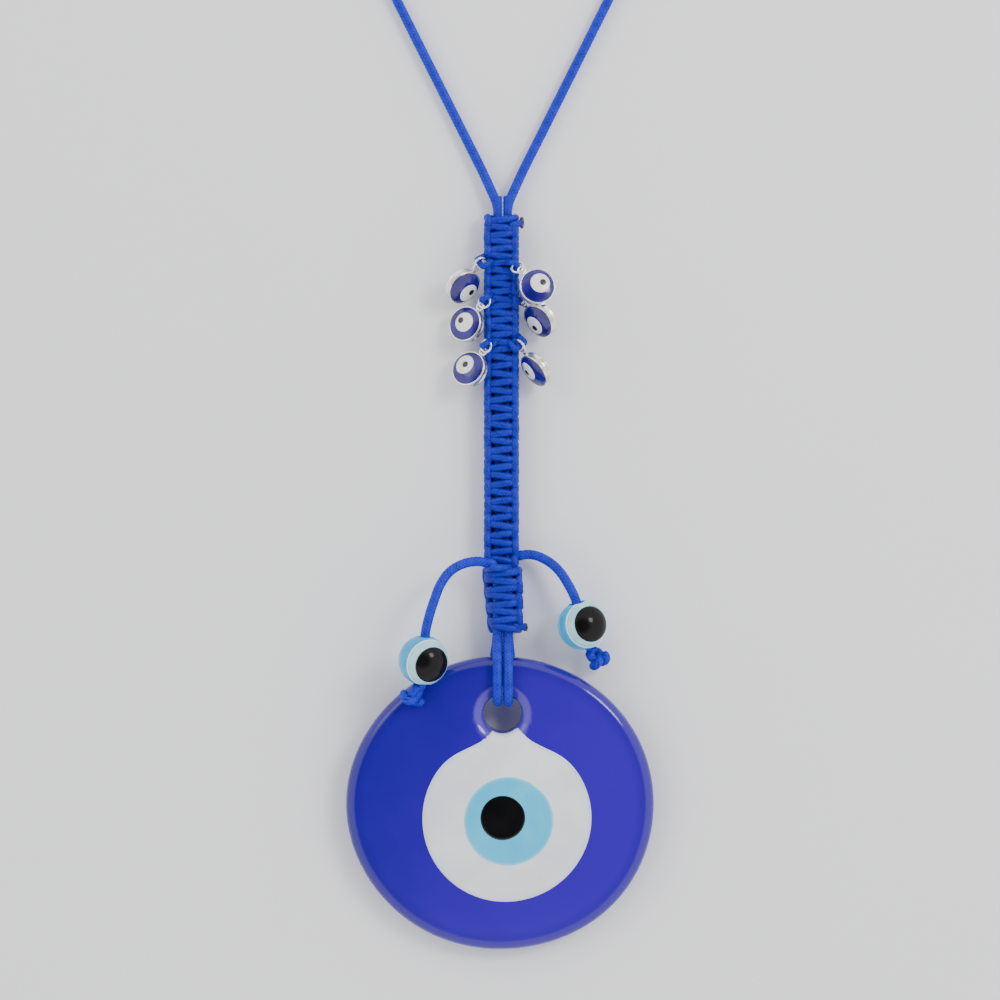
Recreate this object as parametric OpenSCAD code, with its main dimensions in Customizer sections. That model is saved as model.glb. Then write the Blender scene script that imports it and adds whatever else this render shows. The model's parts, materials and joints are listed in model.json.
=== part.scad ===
// An evil eye wall hanging, lying on its back: a glass eye on a doubled cord, a square-knot braid
// with six small eye charms, two cord tails with an eye bead each, and a loop to hang it by.
// +X is to the right, +Y towards the hanging loop and +Z up out of the face. The back rests at Z = 0.

/* [Glass eye] */
// Width of the glass disc
disc_w = 70; // [60:1:80]
// Height of the glass disc, a little less than its width
disc_h = 66.9; // [60:0.1:70]
// Thickness of the disc at its middle
disc_t = 7.5; // [7:0.5:9]
// Thickness of the disc at its rounded rim
rim_t = 5; // [4:0.5:6]
// Diameter of the hole that the cord passes through
hole_d = 8.7; // [8.4:0.1:9]
// Diameter of the pool of white glass
pool_d = 38.4; // [34:0.2:40]
// Diameter of the light blue iris
iris_d = 20.6; // [18:0.2:22]
// Diameter of the black pupil
pupil_d = 10.6; // [8:0.2:12]
// Lean of the disc, whose top edge lies on the cord behind it
disc_lean = 3; // [2.5:0.5:4]

/* [Cords] */
// Diameter of the braided main cord
cord_d = 2.25; // [2:0.05:2.4]
// Diameter of the thinner cord that the knots are tied in
knot_cord_d = 1.6; // [1.4:0.1:1.7]

/* [Braid] */
// Width of the square-knot braid
braid_w = 8.05; // [7.8:0.05:8.4]
// Thickness of the braid
braid_t = 5.2; // [5:0.1:5.6]
// Height of the braid's top end above the origin
braid_top = 84; // [80:1:90]
// Length of one half knot along the braid
knot_pitch = 1.875; // [1.7:0.005:2]
// Thickness of the wrapped stretch below the braid
wrap_t = 7.6; // [7.4:0.1:8]
// Distance from one wrap to the next
wrap_pitch = 1.76; // [1.6:0.02:1.9]

/* [Charms] */
// Diameter of a charm's metal band
charm_d = 8.2; // [7.8:0.1:8.4]
// Width of the metal band
band_t = 1.9; // [1.7:0.1:2.1]
// Diameter of the white spot on a charm
spot_d = 4.5; // [4:0.1:4.6]
// Diameter of the black pupil on a charm
dot_d = 1.6; // [1.2:0.1:2]
// Diameter of a jump ring, to the middle of its wire
ring_d = 2.8; // [2.7:0.05:2.9]
// Diameter of the jump ring's wire
ring_wire_d = 0.56; // [0.5:0.02:0.6]

/* [Beads] */
// Diameter of an eye bead
bead_d = 11.3; // [11:0.1:11.4]
// Diameter of a bead's bore
bore_d = 2.9; // [2.8:0.1:3.2]
// Diameter of the black pupil on a bead
bead_dot_d = 7.2; // [6.6:0.2:7.6]

/* [Hidden] */
$fn = 48;

cord_r = cord_d / 2;
knot_cord_r = knot_cord_d / 2;
core_short = 0.25;     // the strands stop this far inside the braid's top, where the loop takes over
fine_gap = 0.03;       // between a strand and the knots tied round it
free_gap = 0.3;        // round a piece that moves
big = 200;

// Braid: its middle is a little right of X = 0, and its two core strands lie side by side
braid_x = 0.175;
braid_low = 2.45;      // where the braid ends and the wraps begin
core_left_x = -0.7;
core_right_x = 1.6;
core_z = braid_t / 2;
braid_corner_r = 2.2;
groove_w = 0.5;        // groove between two neighbouring bars
groove_deep = 0.35;
side_bar = 2 * knot_pitch;
white_low = 1.95;      // the white layer starts this far in front of the bead's middle
white_high = 2.3;      // and ends here, where the aqua layer starts
dot_low = 3.9;         // the pupil starts here
stay_rise = 1.42;      // from the middle of a jump ring to the cord's turn above or below it
stay_reach = 2.8;      // from there to where the cord goes back into the braid

// Wrapped stretch
wrap_low = -11.7;
wrap_right_x = 5;
wrap_left_top_x = -4.1;
wrap_left_low_x = -2.6;
wrap_corner_r = 3;
front_core_z = 5.4;
back_core_z = 1.9;
wrap_count = floor((braid_low - wrap_low) / wrap_pitch);

// Glass eye
disc_y = -50.45;
// The oval is two arcs of one radius, whose centres lie a little above and below the middle
oval_r = (disc_w * disc_w + disc_h * disc_h) / (4 * disc_h);
oval_shift = oval_r - disc_h / 2;
disc_z = 1.63;
hole_y = 20.8;        // above the disc's centre
hole_x = 0.43;
bevel_r = 6.6;
bevel_deep = 1.4;
back_bevel_r = 5.2;
back_bevel_deep = 0.7;
pool_x = 1.35;
pool_y = -2.9;
iris_x = 1.8;
iris_y = -3.45;
black_x = 0.5;
black_y = -2.65;
pool_deep = 2.6;       // each colour of glass is a shallow pool melted into the one under it
iris_deep = 1.8;
black_deep = 1.1;
neck_half = 3.3;
neck_top = 16.1;
neck_low = 11.4;
neck_low_half = 12.2;

// Charms: a domed enamel eye on both faces of a flat metal band
charm_r = charm_d / 2;
enamel_r = charm_r - 0.22;
dome_h = 0.7;
seat_deep = 0.5;
spot_deep = 0.25;
dot_deep = 0.4;
eyelet_r = 0.85;
eyelet_wire_r = 0.25;
eyelet_arm = charm_r + 1.05;
ring_r = ring_d / 2;
ring_wire_r = ring_wire_d / 2;

// Each charm: its middle, the X and Y of its face's direction, the point its jump ring hangs towards,
// the white spot's place on the face and the pupil's, along the arm and across it, and the braid's side
upper_left = [[-8.6, 67, 4.3], [0.51, -0.52], [-4.75, 72, 5.3], [-0.5, -1.5], [0, -1.95], -1];
upper_right = [[8.2, 66.6, 7.4], [0.16, 0.22], [3.8, 71.2, 6.3], [0.1, -0.8], [-0.2, -1.4], 1];
middle_left = [[-7.7, 58.3, 4.4], [-0.48, 0.2], [-3.7, 63.4, 5.3], [0.2, 0.05], [0.05, 0.95], -1];
middle_right = [[9, 59.4, 4.1], [-0.62, -0.49], [4.7, 63.9, 3.3], [0, 1.25], [-0.5, 1.7], 1];
lower_left = [[-7, 48.05, 4.9], [-0.43, 0.31], [-3.3, 53.4, 5.4], [0.2, 0.95], [0.3, 0.75], -1];
lower_right = [[8.1, 48.1, 4.7], [-0.7, -0.56], [4.4, 53.5, 5.5], [0.65, 1.1], [0.45, 1.85], 1];
charms = [upper_left, upper_right, middle_left, middle_right, lower_left, lower_right];

// Cord routes: points along the middle of each cord
loop_points = [[-0.7, 84, 2.6], [-0.95, 86, 2.5], [-2, 88.5, 2.2], [-4.5, 94, 1.6], [-9.5, 104, 1.2],
    [-15, 115, 1.2], [-20.5, 126, 1.2], [-25.5, 136.5, 1.2], [-28.5, 146, 1.2], [-29, 154, 1.2],
    [-27, 162.5, 1.2], [-22, 171, 1.2], [-15.5, 177, 1.2], [-7.5, 180.5, 1.2], [0.45, 181.5, 1.2],
    [8.4, 180.5, 1.2], [16.4, 177, 1.2], [22.9, 171, 1.2], [27.9, 162.5, 1.2], [29.9, 154, 1.2],
    [29.4, 146, 1.2], [26.4, 136.5, 1.2], [21.4, 126, 1.2], [15.9, 115, 1.2], [10.4, 104, 1.2],
    [5.4, 94, 1.6], [2.9, 88.5, 2.2], [1.85, 86, 2.5], [1.6, 84, 2.6]];
sling_left_points = [[-0.7, -11.7, 5.4], [-0.7, -12.7, 5.5], [-0.7, -14.6, 6.9], [-0.7, -17.5, 8.9], [-0.7, -20.5, 10],
    [-0.7, -24, 10.4], [-0.7, -26.3, 9.8], [-0.7, -27.15, 8.2], [-0.7, -27.15, 5.5],
    [-0.75, -27.1, 2.9], [-0.9, -26.3, 1.5], [-1.2, -24, 1.2], [-1.5, -19, 1.2], [-0.9, -14, 1.5],
    [-0.7, -11.7, 1.9]];
sling_right_points = [[1.7, -11.7, 5.4], [1.7, -12.7, 5.5], [1.7, -14.6, 6.9], [1.7, -17.5, 8.9], [1.7, -20.5, 10],
    [1.7, -24, 10.4], [1.7, -26.3, 9.8], [1.7, -27.2, 8.2], [1.7, -27.2, 5.5], [1.75, -27.1, 2.9],
    [1.9, -26.3, 1.5], [2.1, -24, 1.2], [2.3, -19, 1.2], [1.9, -14, 1.5], [1.7, -11.7, 1.9]];
bead_left_at = [-17.4, -17.7, 12];
bead_left_way = [-0.4, -5.5, -0.2];
bead_left_eye = [0.48, -0.22, 0.85];
bead_right_at = [18.6, -10, 5.75];
bead_right_way = [1.3, -4.8, -0.65];
bead_right_eye = [0.44, 0.1, 0.89];
tail_left_points = [[-1.1, 3.4, 6.6], [-1.6, 3.8, 6.6], [-3.4, 4.2, 6.7], [-5.6, 4.5, 7],
    [-8.6, 3.9, 7.7], [-11.6, 2.1, 8.8], [-13.7, -0.9, 10], [-15, -4.3, 11], [-16, -7.4, 11.7],
    [-16.7, -10.2, 12.1], bead_left_at - bead_left_way, bead_left_at, bead_left_at + bead_left_way,
    [-18.3, -23.6, 11.5]];
tail_right_points = [[4.5, 5.8, 2.65], [6.5, 6, 2.9], [8.8, 5.5, 3.5], [11.5, 4, 4.5], [13.7, 1.8, 5.5],
    [15.4, -0.9, 6.2], [16.6, -3.2, 6.5], bead_right_at - bead_right_way, bead_right_at,
    bead_right_at + bead_right_way, [20.3, -15.6, 4.8]];
knot_left_at = [-19.1, -25, 10.9];
knot_right_at = [21.6, -16.9, 4.1];
knot_r = 1.9;

// Vector helpers
function unit(v) = v / norm(v);
function in_plane(v, n) = v - (v * n) * n;
// Smooth curve through a list of points, with the same number of steps on each stretch
function curve_at(a, b, c, d, t) = 0.5 * (2 * b + (c - a) * t + (2 * a - 5 * b + 4 * c - d) * t * t
    + (3 * b - a - 3 * c + d) * t * t * t);
function curve(p, steps) = let (n = len(p)) [
    for (i = [0:n - 2])
        for (k = [0:steps - 1])
            curve_at(p[max(i - 1, 0)], p[i], p[i + 1], p[min(i + 2, n - 1)], k / steps),
    p[n - 1]];

// One ring of a tube: its sides keep level, or square to the page where the tube runs upright
function tube_ring(at, way, up, r, sides) = let (x = unit(cross(up, way)), y = cross(way, x))
    [for (k = [0:sides - 1]) at + r * (cos(360 * (k + 0.5) / sides) * x + sin(360 * (k + 0.5) / sides) * y)];
function tube_way(p, i) = unit(p[min(i + 1, len(p) - 1)] - p[max(i - 1, 0)]);

module tube(p, r, up, sides = 8) {
    rings = [for (i = [0:len(p) - 1]) tube_ring(p[i], tube_way(p, i), up, r, sides)];
    points = [for (ring = rings) each ring];
    last = (len(p) - 1) * sides;
    walls = [
        for (i = [0:len(p) - 2])
            for (k = [0:sides - 1])
                let (a = i * sides + k, b = i * sides + (k + 1) % sides)
                    each [[a, b + sides, b], [a, a + sides, b + sides]]];
    start = [for (k = [0:sides - 1]) k];
    end = [for (k = [sides - 1:-1:0]) last + k];
    polyhedron(points, concat(walls, [start, end]));
}

// A straight round bar from one point to another
module rod(a, b, r) {
    way = b - a;
    translate(a)
        rotate([0, acos(way[2] / norm(way)), atan2(way[1], way[0])])
            cylinder(h = norm(way), r = r);
}

// Turns +Z to a direction
module facing(n) {
    rotate([0, acos(n[2] / norm(n)), atan2(n[1], n[0])])
        children();
}

// Turns +Z to n and +X to the direction v, which is square to n
module facing_arm(n, v) {
    t = cross(n, v);
    multmatrix([[v[0], t[0], n[0], 0], [v[1], t[1], n[1], 0], [v[2], t[2], n[2], 0]])
        children();
}

module ring_of(r, wire_r, steps = 48) {
    rotate_extrude($fn = steps)
        translate([r, 0])
            circle(r = wire_r, $fn = steps / 2);
}

// A charm's own directions: its face, its arm towards the jump ring, and the link where they meet
function face_way(c) = [c[1][0], c[1][1], sqrt(1 - c[1][0] * c[1][0] - c[1][1] * c[1][1])];
function arm_way(c) = unit(in_plane(c[2] - c[0], face_way(c)));
function across_way(c) = cross(face_way(c), arm_way(c));
function link_at(c) = c[0] + eyelet_arm * arm_way(c);
function ring_at(c) = link_at(c) + ring_r * unit(c[2] - link_at(c));
function ring_axis(c) = let (n = cross(across_way(c), unit(c[2] - link_at(c)))) n[2] < 0 ? -n : n;

// ---- Braid ----

// Side view of the braid: one low bar for each half knot, with a groove between
module bar_profile(low, high, pitch, thick) {
    n = floor((high - low) / pitch);
    step = (high - low) / n;
    deep = groove_deep;
    half = groove_w / 2;
    front = [for (k = [0:n - 1]) let (y = low + k * step) each
        [[y, k == 0 ? thick : thick - deep], [y + half, thick], [y + step - half, thick]]];
    back = [for (k = [n:-1:1]) let (y = low + k * step) each
        [[y, k == n ? 0 : deep], [y - half, 0], [y - step + half, 0]]];
    rotate([90, 0, 90])
        translate([0, 0, -big / 2])
            linear_extrude(big)
                polygon(concat(front, [[high, thick]], back, [[low, 0]]));
}

module braid_envelope() {
    intersection() {
        translate([braid_x, braid_top, braid_t / 2])
            rotate([90, 0, 0])
                linear_extrude(braid_top - braid_low)
                    round_box(braid_w, braid_t, braid_corner_r);
        bar_profile(braid_low, braid_top, knot_pitch, braid_t);
        side_profile();
    }
}

// Front view of the braid: the loops at the left edge lie half a knot from those at the right
module side_profile() {
    n = floor((braid_top - braid_low) / side_bar);
    left = braid_x - braid_w / 2;
    right = braid_x + braid_w / 2;
    half = groove_w / 2;
    deep = groove_deep;
    right_edge = [for (k = [0:n - 1]) let (y = braid_low + (k + 0.5) * side_bar) each
        [[right, y - half], [right - deep, y], [right, y + half]]];
    left_edge = [for (k = [n - 1:-1:1]) let (y = braid_low + k * side_bar) each
        [[left, y + half], [left + deep, y], [left, y - half]]];
    translate([0, 0, -1])
        linear_extrude(braid_t + 2)
            polygon(concat([[right, braid_low]], right_edge, [[right, braid_top], [left, braid_top]],
                left_edge, [[left, braid_low]]));
}

module round_box(w, h, r) {
    square([w - 2 * r, h], center = true);
    square([w, h - 2 * r], center = true);
    for (x = [-1, 1], y = [-1, 1])
        translate([x * (w / 2 - r), y * (h / 2 - r)])
            circle(r = r);
}

module core_bores(gap) {
    for (x = [core_left_x, core_right_x])
        rod([x, braid_low - gap, core_z], [x, braid_top + (gap > 0 ? gap : -core_short), core_z], cord_r + gap);
}

// The short stretch of knotting cord that a jump ring hangs on: it goes through the ring, runs past
// the ring's edge above and below it, and turns back into the braid
module ring_stay(c) {
    side = c[5];
    at = ring_at(c);
    axis = ring_axis(c);
    inward = stay_reach * unit(in_plane([-side, 0.4, 0], axis));
    above = at + stay_rise * axis;
    below = at - stay_rise * axis;
    stops = [[below[0] + inward[0], below[1] + inward[1], core_z + 0.4], below + inward, below, above,
        above + inward, [above[0] + inward[0], above[1] + inward[1], core_z + 1.6]];
    for (k = [0:4])
        rod(stops[k], stops[k + 1], knot_cord_r - 0.04);
    for (k = [1:4])
        translate(stops[k])
            sphere(r = knot_cord_r, $fn = 24);
}

module knots_with_rings() {
    difference() {
        union() {
            braid_envelope();
            for (c = charms)
                ring_stay(c);
        }
        core_bores(fine_gap);
        for (c = charms) {
            translate(ring_at(c))
                facing(ring_axis(c))
                    ring_of(ring_r, ring_wire_r + free_gap, 32);
            translate(link_at(c))
                sphere(r = eyelet_r + eyelet_wire_r + free_gap, $fn = 32);
        }
    }
}

module core_strands() {
    color("mediumblue") {
        core_bores(0);
        for (x = [core_left_x, core_right_x + 0.1], z = [front_core_z, back_core_z])
            rod([x, wrap_low + free_gap, z], [x, braid_low - 0.05, z], cord_r);
    }
}

module front_knot_cord() {
    color("mediumblue")
        intersection() {
            knots_with_rings();
            translate([-big / 2, -big / 2, core_z])
                cube(big);
        }
}

module back_knot_cord() {
    color("mediumblue")
        intersection() {
            knots_with_rings();
            translate([-big / 2, -big / 2, core_z - big])
                cube(big);
        }
}

// Plain wraps round four strands, with one upright stretch down their right edge
module lower_knot_cord() {
    mid = (wrap_left_top_x + wrap_right_x) / 2;
    half = groove_w / 2;
    step = (braid_low - wrap_low) / wrap_count;
    slant = (wrap_left_low_x - wrap_left_top_x) / wrap_count;
    left_edge = [for (k = [0:wrap_count - 1])
        let (y = braid_low - k * step, x = wrap_left_top_x + k * slant) each
            [[x + groove_deep, y], [x, y - half], [x + slant, y - step + half]]];
    color("mediumblue")
        difference() {
            intersection() {
                translate([mid, braid_low, wrap_t / 2])
                    rotate([90, 0, 0])
                        linear_extrude(braid_low - wrap_low)
                            round_box(wrap_right_x - wrap_left_top_x, wrap_t, wrap_corner_r);
                bar_profile(wrap_low, braid_low, wrap_pitch, wrap_t);
                translate([0, 0, -1])
                    linear_extrude(wrap_t + 2)
                        polygon(concat([[wrap_right_x, braid_low]], left_edge,
                            [[wrap_left_low_x, wrap_low], [wrap_right_x, wrap_low]]));
            }
            for (x = [core_left_x, core_right_x + 0.1], z = [front_core_z, back_core_z])
                rod([x, wrap_low - 1, z], [x, braid_low + 1, z], cord_r + fine_gap);
        }
}

// The sealed ends of the knotting cord are small lumps on the right edge
module melted_end(low, high, x, z) {
    color("saddlebrown")
        intersection() {
            union() {
                translate([x, low + knot_cord_r, z])
                    sphere(r = knot_cord_r);
                translate([x + 0.15, high - knot_cord_r, z])
                    sphere(r = knot_cord_r);
                rod([x, low + knot_cord_r, z], [x + 0.15, high - knot_cord_r, z], knot_cord_r - 0.08);
            }
            translate([x - 0.3, low - 1, z - 3])
                cube([4, high - low + 2, 6]);
        }
}

module melted_end_top() {
    melted_end(80, 83, braid_x + braid_w / 2 + 0.3, core_z + 0.6);
}

module melted_end_bottom() {
    melted_end(-11.6, -9.4, wrap_right_x + 0.3, wrap_t / 2);
}

// ---- Cords ----

module hanging_loop() {
    color("mediumblue")
        tube(curve(loop_points, 2), cord_r, [0, 0, 1]);
}

module sling_left() {
    color("mediumblue")
        tube(curve(sling_left_points, 2), cord_r, [1, 0, 0]);
}

module sling_right() {
    color("mediumblue")
        tube(curve(sling_right_points, 2), cord_r, [1, 0, 0]);
}

module tail_cord_left() {
    color("mediumblue")
        tube(curve(tail_left_points, 1), cord_r, [0, 0, 1]);
}

module tail_cord_right() {
    color("mediumblue")
        tube(curve(tail_right_points, 1), cord_r, [0, 0, 1]);
}

// An overhand knot drawn tight: three lobes round the middle
module tail_knot(at, way, bead_at) {
    color("mediumblue")
        difference() {
            translate(at)
                facing(way)
                    for (a = [0, 120, 240])
                        rotate(a)
                            translate([1.15, 0, (a - 120) / 150])
                                sphere(r = knot_r);
            translate(bead_at)
                sphere(d = bead_d + 2 * free_gap, $fn = 96);
        }
}

module tail_knot_left() {
    tail_knot(knot_left_at, knot_left_at - tail_left_points[13], bead_left_at);
}

module tail_knot_right() {
    tail_knot(knot_right_at, knot_right_at - tail_right_points[10], bead_right_at);
}

// ---- Glass eye ----

// Half outline of the disc: flat back, rounded rim and a low domed front
module disc_outline() {
    round_r = rim_t / 2;
    inner = oval_r - round_r;
    rise = disc_t - rim_t;
    dome = [for (k = [0:8]) let (x = inner * (1 - k / 8)) [x, rim_t + rise * (1 - pow(x / inner, 2))]];
    rim = [for (a = [-90:15:75]) [inner + round_r * cos(a), round_r + round_r * sin(a)]];
    polygon(concat([[0, 0]], rim, dome));
}

module disc_place() {
    translate([0, disc_y, disc_z])
        rotate([disc_lean, 0, 0])
            children();
}

module disc_body() {
    for (half = [0, 1])
        mirror([0, half, 0])
            intersection() {
                translate([0, -oval_shift, 0])
                    rotate_extrude($fn = 120)
                        disc_outline();
                translate([-big / 2, 0, -1])
                    cube([big, big, disc_t + 2]);
            }
}

// The pool of white is round and drawn up to a point below the hole
module pool_outline() {
    intersection() {
        translate([pool_x, pool_y])
            circle(d = pool_d);
        polygon([[-pool_d, -pool_d], [pool_d, -pool_d], [pool_d, neck_low - 6],
            [hole_x + neck_low_half + 1.6, neck_low], [hole_x + neck_half, neck_top],
            [hole_x - neck_half, neck_top], [hole_x - neck_low_half + 0.4, neck_low],
            [-pool_d, neck_low - 6]]);
    }
}

// A plug of the front of the disc, cut along an outline from a given depth below the middle's height
module glass_plug(deep) {
    intersection() {
        disc_body();
        translate([0, 0, disc_t - deep])
            linear_extrude(deep + 1)
                children();
    }
}

module iris_outline() {
    translate([iris_x, iris_y])
        circle(d = iris_d);
}

module black_outline() {
    translate([black_x, black_y])
        circle(d = pupil_d);
}

module glass_disc() {
    color("navy")
        disc_place()
            difference() {
                disc_body();
                translate([hole_x, hole_y, -1])
                    cylinder(h = disc_t + 2, d = hole_d);
                translate([hole_x, hole_y, rim_t + 1.2 - bevel_deep])
                    cylinder(h = bevel_deep, r1 = hole_d / 2, r2 = bevel_r);
                translate([hole_x, hole_y, rim_t + 1.19])
                    cylinder(h = 3, r = bevel_r);
                translate([hole_x, hole_y, -0.01])
                    cylinder(h = back_bevel_deep, r1 = back_bevel_r, r2 = hole_d / 2);
                translate([0, 0, disc_t - pool_deep])
                    linear_extrude(pool_deep + 1)
                        pool_outline();
            }
}

module white_glass() {
    color("ghostwhite")
        disc_place()
            difference() {
                glass_plug(pool_deep)
                    pool_outline();
                translate([hole_x, hole_y, rim_t + 1.2 - bevel_deep])
                    cylinder(h = bevel_deep, r1 = hole_d / 2, r2 = bevel_r);
                translate([hole_x, hole_y, rim_t + 1.19])
                    cylinder(h = 3, r = bevel_r);
                translate([0, 0, disc_t - iris_deep])
                    linear_extrude(iris_deep + 1)
                        iris_outline();
            }
}

module light_blue_glass() {
    color("skyblue")
        disc_place()
            difference() {
                glass_plug(iris_deep)
                    iris_outline();
                translate([0, 0, disc_t - black_deep])
                    linear_extrude(black_deep + 1)
                        black_outline();
            }
}

module black_glass() {
    color("black")
        disc_place()
            glass_plug(black_deep)
                black_outline();
}

// ---- Charms ----

module charm_place(c) {
    translate(c[0])
        facing_arm(face_way(c), arm_way(c))
            children();
}

module on_both_faces() {
    children();
    mirror([0, 0, 1])
        children();
}

// The enamel stands in a low recess in the band and domes up past its edge
module enamel_solid() {
    dome_r = (enamel_r * enamel_r + dome_h * dome_h) / (2 * dome_h);
    intersection() {
        translate([0, 0, band_t / 2 - seat_deep])
            cylinder(h = seat_deep + dome_h + 1, r = enamel_r);
        translate([0, 0, band_t / 2 + dome_h - dome_r])
            sphere(r = dome_r, $fn = 180);
    }
}

module spot_column(at, d, low) {
    translate([at[0], at[1], low])
        cylinder(h = 3, d = d, $fn = 96);
}

module jump_ring(c) {
    color("silver")
        translate(ring_at(c))
            facing(ring_axis(c))
                ring_of(ring_r, ring_wire_r);
}

module band(c) {
    color("silver")
        charm_place(c)
            difference() {
                union() {
                    cylinder(h = band_t, r = charm_r, center = true);
                    translate([eyelet_arm, 0, 0])
                        rotate([90, 0, 0])
                            ring_of(eyelet_r, eyelet_wire_r);
                }
                on_both_faces()
                    translate([0, 0, band_t / 2 - seat_deep])
                        cylinder(h = 2, r = enamel_r);
            }
}

module enamel(c) {
    color("navy")
        charm_place(c)
            on_both_faces()
                difference() {
                    enamel_solid();
                    spot_column(c[3], spot_d, band_t / 2 + dome_h - 2 * spot_deep - 0.45);
                }
}

module white_spot(c) {
    color("white")
        charm_place(c)
            on_both_faces()
                intersection() {
                    enamel_solid();
                    difference() {
                        spot_column(c[3], spot_d, band_t / 2 + dome_h - 2 * spot_deep - 0.45);
                        spot_column(c[4], dot_d, band_t / 2 + dome_h - dot_deep - 0.2);
                    }
                }
}

module pupil_spot(c) {
    color("black")
        charm_place(c)
            on_both_faces()
                intersection() {
                    enamel_solid();
                    spot_column(c[3], spot_d, 0);
                    spot_column(c[4], dot_d, band_t / 2 + dome_h - dot_deep - 0.2);
                }
}

// ---- Beads ----

module bead_slice(at, way, eye, low, high) {
    difference() {
        translate(at)
            facing(eye)
                intersection() {
                    sphere(d = bead_d, $fn = 96);
                    translate([-10, -10, low])
                        cube([20, 20, high - low]);
                }
        rod(at - 2 * way, at + 2 * way, bore_d / 2);
    }
}

module bead_pupil(at, way, eye) {
    intersection() {
        bead_slice(at, way, eye, dot_low, 10);
        translate(at)
            facing(eye)
                cylinder(h = 10, d = bead_dot_d);
    }
}

module bead_front(at, way, eye) {
    difference() {
        bead_slice(at, way, eye, white_high, 10);
        translate(at)
            facing(eye)
                translate([0, 0, dot_low])
                    cylinder(h = 10, d = bead_dot_d);
    }
}

module bead_left_body() {
    color("deepskyblue")
        bead_slice(bead_left_at, bead_left_way, bead_left_eye, -10, white_low);
}

module bead_left_white() {
    color("white")
        bead_slice(bead_left_at, bead_left_way, bead_left_eye, white_low, white_high);
}

module bead_left_aqua() {
    color("paleturquoise")
        bead_front(bead_left_at, bead_left_way, bead_left_eye);
}

module bead_left_pupil() {
    color("black")
        bead_pupil(bead_left_at, bead_left_way, bead_left_eye);
}

module bead_right_body() {
    color("deepskyblue")
        bead_slice(bead_right_at, bead_right_way, bead_right_eye, -10, white_low);
}

module bead_right_white() {
    color("white")
        bead_slice(bead_right_at, bead_right_way, bead_right_eye, white_low, white_high);
}

module bead_right_aqua() {
    color("paleturquoise")
        bead_front(bead_right_at, bead_right_way, bead_right_eye);
}

module bead_right_pupil() {
    color("black")
        bead_pupil(bead_right_at, bead_right_way, bead_right_eye);
}

core_strands();
front_knot_cord();
back_knot_cord();
lower_knot_cord();
melted_end_top();
melted_end_bottom();
hanging_loop();
sling_left();
sling_right();
glass_disc();
white_glass();
light_blue_glass();
black_glass();
tail_cord_left();
tail_cord_right();
tail_knot_left();
tail_knot_right();
bead_left_body();
bead_left_white();
bead_left_aqua();
bead_left_pupil();
bead_right_body();
bead_right_white();
bead_right_aqua();
bead_right_pupil();
jump_ring(upper_left);  // jump_ring_upper_left
band(upper_left);  // band_upper_left
enamel(upper_left);  // enamel_upper_left
white_spot(upper_left);  // white_upper_left
pupil_spot(upper_left);  // pupil_upper_left
jump_ring(upper_right);  // jump_ring_upper_right
band(upper_right);  // band_upper_right
enamel(upper_right);  // enamel_upper_right
white_spot(upper_right);  // white_upper_right
pupil_spot(upper_right);  // pupil_upper_right
jump_ring(middle_left);  // jump_ring_middle_left
band(middle_left);  // band_middle_left
enamel(middle_left);  // enamel_middle_left
white_spot(middle_left);  // white_middle_left
pupil_spot(middle_left);  // pupil_middle_left
jump_ring(middle_right);  // jump_ring_middle_right
band(middle_right);  // band_middle_right
enamel(middle_right);  // enamel_middle_right
white_spot(middle_right);  // white_middle_right
pupil_spot(middle_right);  // pupil_middle_right
jump_ring(lower_left);  // jump_ring_lower_left
band(lower_left);  // band_lower_left
enamel(lower_left);  // enamel_lower_left
white_spot(lower_left);  // white_lower_left
pupil_spot(lower_left);  // pupil_lower_left
jump_ring(lower_right);  // jump_ring_lower_right
band(lower_right);  // band_lower_right
enamel(lower_right);  // enamel_lower_right
white_spot(lower_right);  // white_lower_right
pupil_spot(lower_right);  // pupil_lower_right
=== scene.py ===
import json
import math
import random

import bpy
import numpy as np
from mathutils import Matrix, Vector


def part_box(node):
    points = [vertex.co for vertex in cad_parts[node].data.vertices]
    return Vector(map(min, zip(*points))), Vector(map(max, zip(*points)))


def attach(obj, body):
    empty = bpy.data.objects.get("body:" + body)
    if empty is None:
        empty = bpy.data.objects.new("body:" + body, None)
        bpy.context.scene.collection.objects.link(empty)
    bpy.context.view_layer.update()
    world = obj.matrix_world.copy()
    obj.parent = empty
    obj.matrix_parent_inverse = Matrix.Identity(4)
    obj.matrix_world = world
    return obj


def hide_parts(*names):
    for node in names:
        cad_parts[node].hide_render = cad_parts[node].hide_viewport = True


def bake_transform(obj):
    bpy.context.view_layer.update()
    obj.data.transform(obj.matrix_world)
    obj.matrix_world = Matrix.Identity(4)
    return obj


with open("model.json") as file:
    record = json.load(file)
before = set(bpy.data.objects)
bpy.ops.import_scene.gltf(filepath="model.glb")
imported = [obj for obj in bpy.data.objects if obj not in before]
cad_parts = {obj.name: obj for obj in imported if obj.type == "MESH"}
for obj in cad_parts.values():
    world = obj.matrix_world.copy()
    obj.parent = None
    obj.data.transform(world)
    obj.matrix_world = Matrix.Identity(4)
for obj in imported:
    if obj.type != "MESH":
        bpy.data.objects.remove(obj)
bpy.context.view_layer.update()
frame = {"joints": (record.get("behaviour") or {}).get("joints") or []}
joints = {j["name"]: j for j in frame["joints"]}
rng = random.Random(7)
mm = 0.001
scene = bpy.context.scene


# places taken from the frame
def boxOf(node):
    low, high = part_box(node)
    return np.array(low) / mm, np.array(high) / mm


def middleOf(node):
    low, high = boxOf(node)
    return (low + high) / 2


def jointAt(name):
    return np.array(joints[name]["pos_m"], float) / mm


def jointWay(name):
    return unit(np.array(joints[name]["axis"], float))


def unit(v):
    v = np.asarray(v, float)
    return v / np.linalg.norm(v)


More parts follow.
